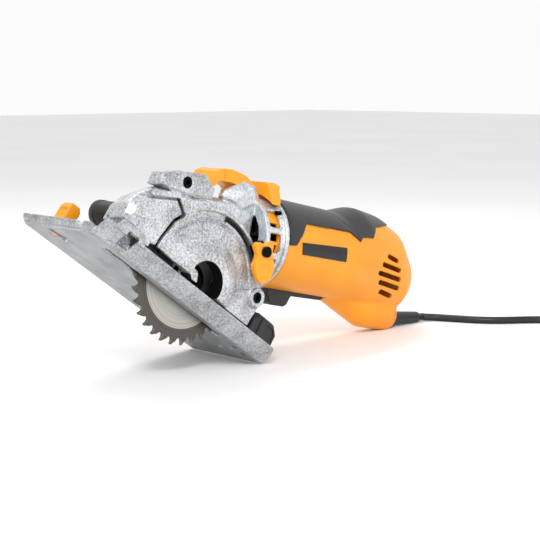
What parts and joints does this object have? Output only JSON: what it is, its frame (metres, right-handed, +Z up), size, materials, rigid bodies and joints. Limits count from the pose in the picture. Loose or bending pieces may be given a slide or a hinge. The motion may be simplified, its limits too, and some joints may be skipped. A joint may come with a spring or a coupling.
{
  "type": "track plunge saw",
  "caption": "Compact corded plunge saw: inline motor barrel, cast blade guard hinged on a flat sole plate, small carbide blade through the sole.",
  "frame": {"origin": "centre of the saw's box (without the cord lead, coil and plug) at floor level", "axes": "+X from the blade towards the cord, +Y away from the guard cover, +Z up; the saw lies on the rear edge of its sole and the heel of its barrel"},
  "size_m": [0.4893, 0.1967, 0.1352],
  "materials": {
    "cast_aluminium": "sand-cast, bead-blasted",
    "sole_aluminium": "die-cast, satin",
    "orange_abs": "moulded, fine texture",
    "soft_grip": "overmoulded, matt",
    "black_plastic": "moulded, matt",
    "black_steel": "black oxide",
    "plain_steel": "ground",
    "blade_steel": "ground saw steel",
    "bronze": "sintered",
    "copper_winding": "lacquered copper",
    "graphite": "pressed carbon",
    "brass_pins": "plated",
    "cord_rubber": "PVC sheath"
  },
  "bodies": {
    "head": {"guard_body": "cast_aluminium", "guard_cover": "cast_aluminium", "cover_screws": "black_steel", "dust_port": "black_plastic", "gear_case": "cast_aluminium", "gear_case_baffle": "orange_abs", "case_screws": "black_steel", "idler_pin": "plain_steel", "shaft_bearings": "plain_steel", "counter_bushes": "bronze", "barrel_near": "orange_abs", "barrel_far": "orange_abs", "grip_cover": "soft_grip", "name_badge": "black_plastic", "housing_screws": "black_steel", "motor_end_plate": "black_plastic", "motor_bearings": "plain_steel", "stator": "plain_steel", "brush_holders": "black_plastic", "brushes": "graphite", "switch_body": "black_plastic", "cord_clamp": "black_plastic", "strain_relief": "cord_rubber", "cord_lead": "cord_rubber", "cord_coil": "cord_rubber", "plug": "black_plastic", "plug_pins": "brass_pins", "trigger_pin": "plain_steel", "release_pin": "plain_steel"},
    "base": {"base_plate": "sole_aluminium", "hinge_pin": "plain_steel", "hinge_spring": "plain_steel", "inner_guard": "plain_steel", "rear_stop_block": "black_plastic", "block_screws": "black_steel"},
    "knob": {"guide_knob": "orange_abs"},
    "trigger_lever": {"trigger": "black_plastic"},
    "release_pad": {"plunge_release": "orange_abs"},
    "lock_button": {"spindle_lock": "black_plastic"},
    "stop_slider": {"depth_stop": "black_steel", "depth_bolt": "black_steel"},
    "stop_lever": {"depth_lever": "orange_abs"},
    "arbor": {"blade": "blade_steel", "arbor_shaft": "plain_steel", "inner_flange": "plain_steel", "outer_flange": "black_steel", "blade_bolt": "black_steel", "spur_gear": "plain_steel"},
    "counter": {"countershaft": "plain_steel", "bevel_wheel": "plain_steel"},
    "idler": {"idler_gear": "plain_steel"},
    "motor": {"motor_shaft": "plain_steel", "armature": "copper_winding", "commutator": "copper_winding", "fan": "black_plastic", "bevel_pinion": "plain_steel"}
  },
  "joints": [
    {"name": "plunge", "type": "hinge", "parent": "head", "child": "base", "pos_m": [-0.14544, -0.01725, 0.09378], "axis": [0, 1, 0], "range_deg": [0, 25.5]},
    {"name": "guide_knob_turn", "type": "hinge", "parent": "base", "child": "knob", "pos_m": [-0.14962, 0.02675, 0.10673], "axis": [0.5889, 0, 0.8082], "range_deg": [0, 180]},
    {"name": "trigger_press", "type": "hinge", "parent": "head", "child": "trigger_lever", "pos_m": [0.05271, 0.00675, 0.03626], "axis": [0, 1, 0], "range_deg": [0, 2.5], "stiffness_Nm_per_rad": 0.5, "springref_deg": -1.72},
    {"name": "plunge_release_press", "type": "hinge", "parent": "head", "child": "release_pad", "pos_m": [-0.02156, 0.00675, 0.11475], "axis": [0, -1, 0], "range_deg": [0, 5], "stiffness_Nm_per_rad": 0.2, "springref_deg": -5.73},
    {"name": "spindle_lock_press", "type": "slide", "parent": "head", "child": "lock_button", "axis": [0, -1, 0], "range_m": [0, 0.003], "stiffness_N_per_m": 300, "springref_m": -0.001},
    {"name": "depth_stop_slide", "type": "hinge", "parent": "head", "child": "stop_slider", "pos_m": [-0.089, -0.01725, 0.06256], "axis": [0, -1, 0], "range_deg": [0, 45]},
    {"name": "depth_lever_clamp", "type": "hinge", "parent": "stop_slider", "child": "stop_lever", "pos_m": [-0.04274, -0.01725, 0.07932], "axis": [0, -1, 0], "range_deg": [0, 60]},
    {"name": "arbor_spin", "type": "hinge", "parent": "head", "child": "arbor", "pos_m": [-0.089, -0.01725, 0.06256], "axis": [0, 1, 0], "continuous": true},
    {"name": "countershaft_spin", "type": "hinge", "parent": "head", "child": "counter", "pos_m": [-0.08125, -0.01725, 0.09618], "axis": [0, 1, 0], "continuous": true},
    {"name": "idler_spin", "type": "hinge", "parent": "head", "child": "idler", "pos_m": [-0.08492, -0.01725, 0.08025], "axis": [0, 1, 0], "continuous": true},
    {"name": "motor_spin", "type": "hinge", "parent": "head", "child": "motor", "pos_m": [-0.02278, 0.00675, 0.0827], "axis": [0.9745, 0, -0.2246], "continuous": true}
  ],
  "couplings": [
    {"joint": "countershaft_spin", "follows": "arbor_spin", "ratio": 1.375},
    {"joint": "idler_spin", "follows": "arbor_spin", "ratio": -1.375},
    {"joint": "motor_spin", "follows": "arbor_spin", "ratio": 5.3036}
  ]
}
